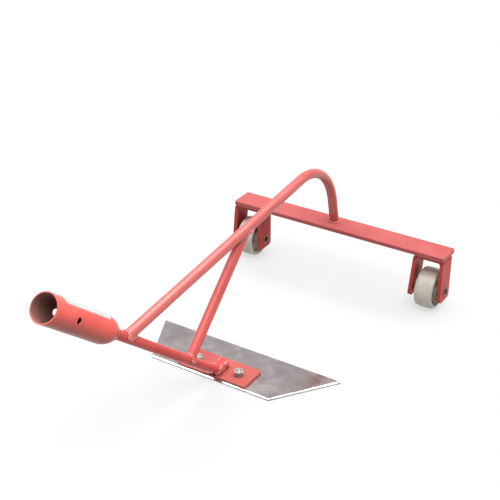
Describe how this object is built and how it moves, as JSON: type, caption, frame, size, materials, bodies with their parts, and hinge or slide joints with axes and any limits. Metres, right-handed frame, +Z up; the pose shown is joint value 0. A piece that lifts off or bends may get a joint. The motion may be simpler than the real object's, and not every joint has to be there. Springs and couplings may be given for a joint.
{
  "type": "wheel hoe",
  "caption": "Push hoe head: a flat blade under a bent rod frame, a handle socket behind, and a flat crossbar in front on forked rolling wheels.",
  "frame": {"origin": "middle of the bounding box, on the ground under the blade and the wheels", "axes": "+X to the operator's right along the crossbar and the wheel axles, +Y forward from the handle socket to the wheels, +Z up"},
  "size_m": [0.2976, 0.5511, 0.2314],
  "materials": {
    "red_paint": "gloss",
    "blade_steel": "satin",
    "zinc_plate": "satin",
    "wheel_nylon": "satin",
    "label_film": "satin"
  },
  "bodies": {
    "frame": {"handle_socket": "red_paint", "socket_label": "label_film", "lower_rod": "red_paint", "main_rod": "red_paint", "brace_rod": "red_paint", "mounting_plate": "red_paint", "blade": "blade_steel", "blade_screws": "zinc_plate", "blade_washers": "zinc_plate", "blade_nuts": "zinc_plate", "crossbar": "red_paint", "fork_left": "red_paint", "fork_right": "red_paint", "axle_left": "zinc_plate", "axle_right": "zinc_plate", "spacer_left": "zinc_plate", "spacer_right": "zinc_plate", "wheel_washer_left": "zinc_plate", "wheel_washer_right": "zinc_plate", "weld_main_rod": "red_paint", "weld_brace_foot": "red_paint", "weld_brace_head": "red_paint", "weld_neck": "red_paint", "weld_arch_foot": "red_paint", "weld_knee_left": "red_paint", "weld_knee_right": "red_paint", "weld_fork_left": "red_paint", "weld_fork_right": "red_paint"},
    "wheel_left": {"wheel_left": "wheel_nylon"},
    "wheel_right": {"wheel_right": "wheel_nylon"}
  },
  "joints": [
    {"name": "wheel_left_spin", "type": "hinge", "parent": "frame", "child": "wheel_left", "pos_m": [-0.12465, 0.2508, 0.025], "axis": [1, 0, 0], "continuous": true},
    {"name": "wheel_right_spin", "type": "hinge", "parent": "frame", "child": "wheel_right", "pos_m": [0.1282, 0.2508, 0.025], "axis": [1, 0, 0], "continuous": true}
  ]
}
